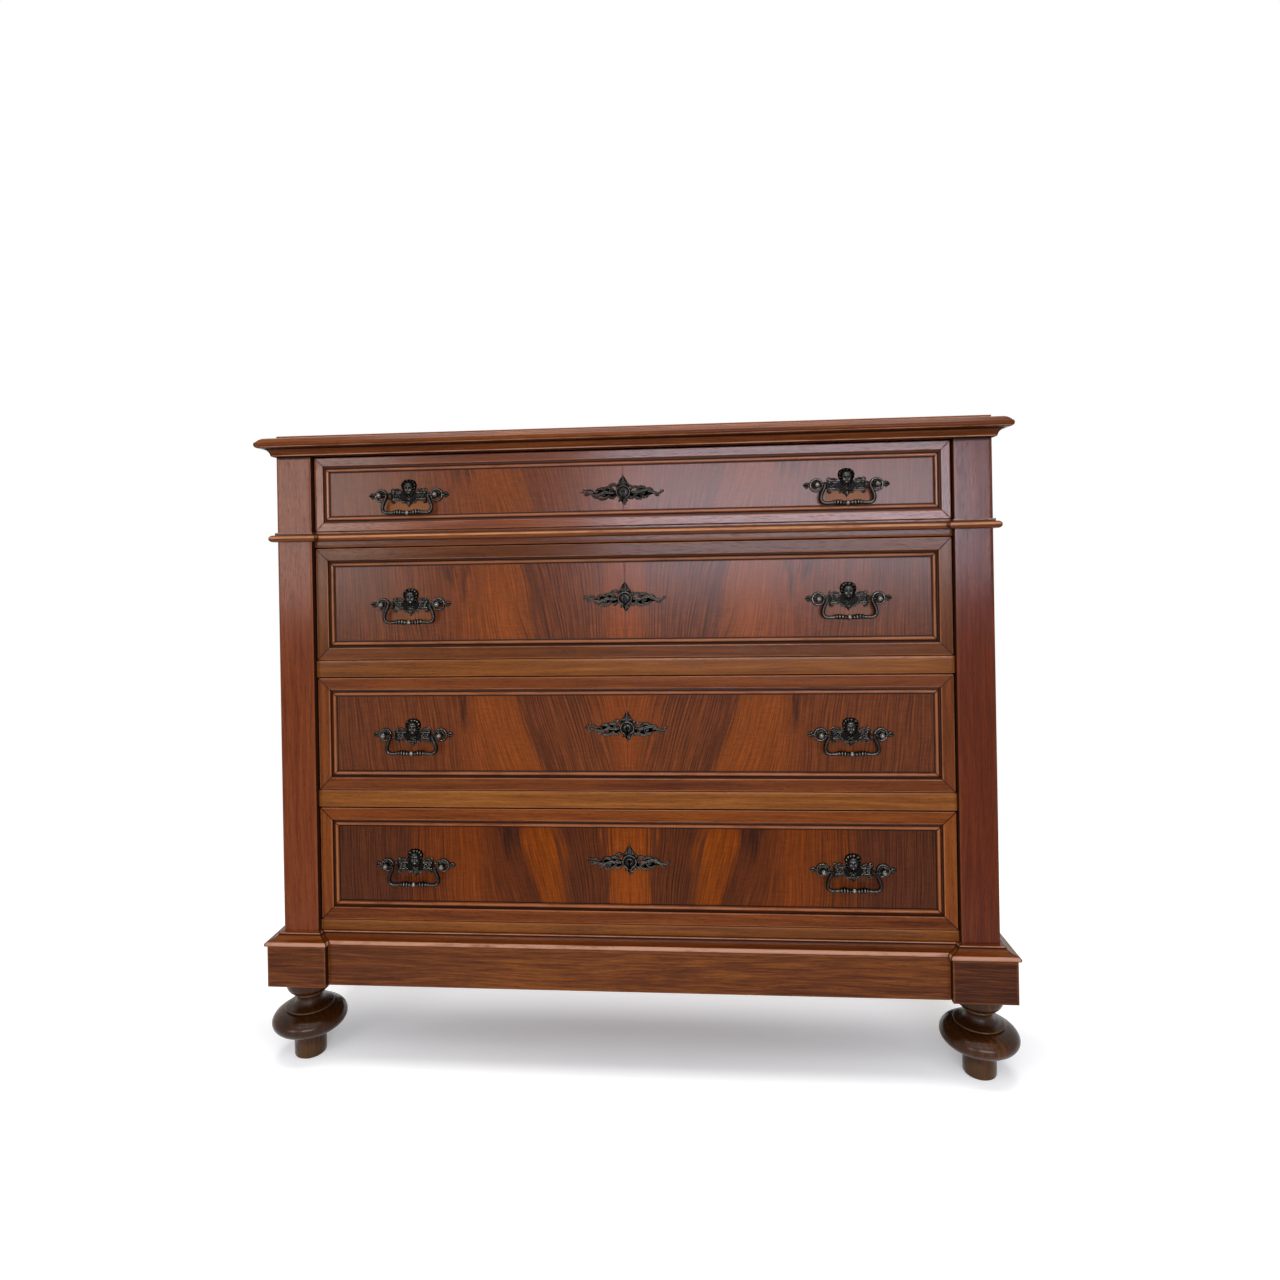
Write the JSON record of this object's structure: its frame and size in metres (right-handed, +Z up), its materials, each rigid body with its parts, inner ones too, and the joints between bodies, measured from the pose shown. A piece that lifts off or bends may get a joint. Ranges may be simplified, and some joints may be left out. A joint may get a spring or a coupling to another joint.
{
  "type": "bachelors chest",
  "caption": "Low walnut chest of drawers with a moulded top, flat pilasters, framed drawer fronts, masked drop pulls and turned bun feet.",
  "frame": {"origin": "floor level under the middle of the chest's bounding box", "axes": "+X to the viewer's right along the front, +Y from the front to the back, +Z up"},
  "size_m": [1.2028, 0.5599, 1.0215],
  "materials": {
    "polished_walnut": "french polish",
    "walnut_moulding": "french polish",
    "walnut_veneer": "french polish",
    "turned_walnut": "worn polish",
    "plain_wood": "unpolished softwood",
    "aged_bronze": "dark patina",
    "lock_steel": "dull"
  },
  "bodies": {
    "carcass": {"top_board": "polished_walnut", "cornice_moulding": "walnut_moulding", "side_left": "polished_walnut", "side_right": "polished_walnut", "back_panel": "plain_wood", "pilaster_left": "polished_walnut", "pilaster_right": "polished_walnut", "waist_rail": "polished_walnut", "waist_moulding": "walnut_moulding", "drawer_rails": "polished_walnut", "bottom_rail": "polished_walnut", "base_moulding": "walnut_moulding", "plinth_front": "polished_walnut", "plinth_blocks": "polished_walnut", "plinth_boards": "polished_walnut", "front_feet": "turned_walnut", "rear_feet": "turned_walnut", "drawer_runners": "plain_wood", "drawer_stops": "plain_wood", "bottom_board": "plain_wood"},
    "drawer_1": {"drawer_1_front": "walnut_veneer", "drawer_1_frame": "walnut_moulding", "drawer_1_box": "plain_wood", "drawer_1_bottom": "plain_wood", "drawer_1_lock": "lock_steel", "drawer_1_escutcheon": "aged_bronze", "drawer_1_pull_plates": "aged_bronze"},
    "bolt_1": {"drawer_1_bolt": "lock_steel"},
    "bail_1_left": {"drawer_1_bail_left": "aged_bronze"},
    "bail_1_right": {"drawer_1_bail_right": "aged_bronze"},
    "drawer_2": {"drawer_2_front": "walnut_veneer", "drawer_2_frame": "walnut_moulding", "drawer_2_box": "plain_wood", "drawer_2_bottom": "plain_wood", "drawer_2_lock": "lock_steel", "drawer_2_escutcheon": "aged_bronze", "drawer_2_pull_plates": "aged_bronze"},
    "bolt_2": {"drawer_2_bolt": "lock_steel"},
    "bail_2_left": {"drawer_2_bail_left": "aged_bronze"},
    "bail_2_right": {"drawer_2_bail_right": "aged_bronze"},
    "drawer_3": {"drawer_3_front": "walnut_veneer", "drawer_3_frame": "walnut_moulding", "drawer_3_box": "plain_wood", "drawer_3_bottom": "plain_wood", "drawer_3_lock": "lock_steel", "drawer_3_escutcheon": "aged_bronze", "drawer_3_pull_plates": "aged_bronze"},
    "bolt_3": {"drawer_3_bolt": "lock_steel"},
    "bail_3_left": {"drawer_3_bail_left": "aged_bronze"},
    "bail_3_right": {"drawer_3_bail_right": "aged_bronze"},
    "drawer_4": {"drawer_4_front": "walnut_veneer", "drawer_4_frame": "walnut_moulding", "drawer_4_box": "plain_wood", "drawer_4_bottom": "plain_wood", "drawer_4_lock": "lock_steel", "drawer_4_escutcheon": "aged_bronze", "drawer_4_pull_plates": "aged_bronze"},
    "bolt_4": {"drawer_4_bolt": "lock_steel"},
    "bail_4_left": {"drawer_4_bail_left": "aged_bronze"},
    "bail_4_right": {"drawer_4_bail_right": "aged_bronze"}
  },
  "joints": [
    {"name": "drawer_1_slide", "type": "slide", "parent": "carcass", "child": "drawer_1", "axis": [0, -1, 0], "range_m": [0, 0.4]},
    {"name": "bolt_1_throw", "type": "slide", "parent": "drawer_1", "child": "bolt_1", "axis": [0, 0, 1], "range_m": [0, 0.008]},
    {"name": "bail_1_left_swing", "type": "hinge", "parent": "drawer_1", "child": "bail_1_left", "pos_m": [-0.348, -0.25155, 0.92175], "axis": [-1, 0, 0], "range_deg": [-10, 150]},
    {"name": "bail_1_right_swing", "type": "hinge", "parent": "drawer_1", "child": "bail_1_right", "pos_m": [0.348, -0.25155, 0.92175], "axis": [-1, 0, 0], "range_deg": [-10, 150]},
    {"name": "drawer_2_slide", "type": "slide", "parent": "carcass", "child": "drawer_2", "axis": [0, -1, 0], "range_m": [0, 0.4]},
    {"name": "bolt_2_throw", "type": "slide", "parent": "drawer_2", "child": "bolt_2", "axis": [0, 0, 1], "range_m": [0, 0.008]},
    {"name": "bail_2_left_swing", "type": "hinge", "parent": "drawer_2", "child": "bail_2_left", "pos_m": [-0.348, -0.25155, 0.74525], "axis": [-1, 0, 0], "range_deg": [-10, 150]},
    {"name": "bail_2_right_swing", "type": "hinge", "parent": "drawer_2", "child": "bail_2_right", "pos_m": [0.348, -0.25155, 0.74525], "axis": [-1, 0, 0], "range_deg": [-10, 150]},
    {"name": "drawer_3_slide", "type": "slide", "parent": "carcass", "child": "drawer_3", "axis": [0, -1, 0], "range_m": [0, 0.4]},
    {"name": "bolt_3_throw", "type": "slide", "parent": "drawer_3", "child": "bolt_3", "axis": [0, 0, 1], "range_m": [0, 0.008]},
    {"name": "bail_3_left_swing", "type": "hinge", "parent": "drawer_3", "child": "bail_3_left", "pos_m": [-0.348, -0.25155, 0.53425], "axis": [-1, 0, 0], "range_deg": [-10, 150]},
    {"name": "bail_3_right_swing", "type": "hinge", "parent": "drawer_3", "child": "bail_3_right", "pos_m": [0.348, -0.25155, 0.53425], "axis": [-1, 0, 0], "range_deg": [-10, 150]},
    {"name": "drawer_4_slide", "type": "slide", "parent": "carcass", "child": "drawer_4", "axis": [0, -1, 0], "range_m": [0, 0.4]},
    {"name": "bolt_4_throw", "type": "slide", "parent": "drawer_4", "child": "bolt_4", "axis": [0, 0, 1], "range_m": [0, 0.008]},
    {"name": "bail_4_left_swing", "type": "hinge", "parent": "drawer_4", "child": "bail_4_left", "pos_m": [-0.348, -0.25155, 0.32325], "axis": [-1, 0, 0], "range_deg": [-10, 150]},
    {"name": "bail_4_right_swing", "type": "hinge", "parent": "drawer_4", "child": "bail_4_right", "pos_m": [0.348, -0.25155, 0.32325], "axis": [-1, 0, 0], "range_deg": [-10, 150]}
  ]
}
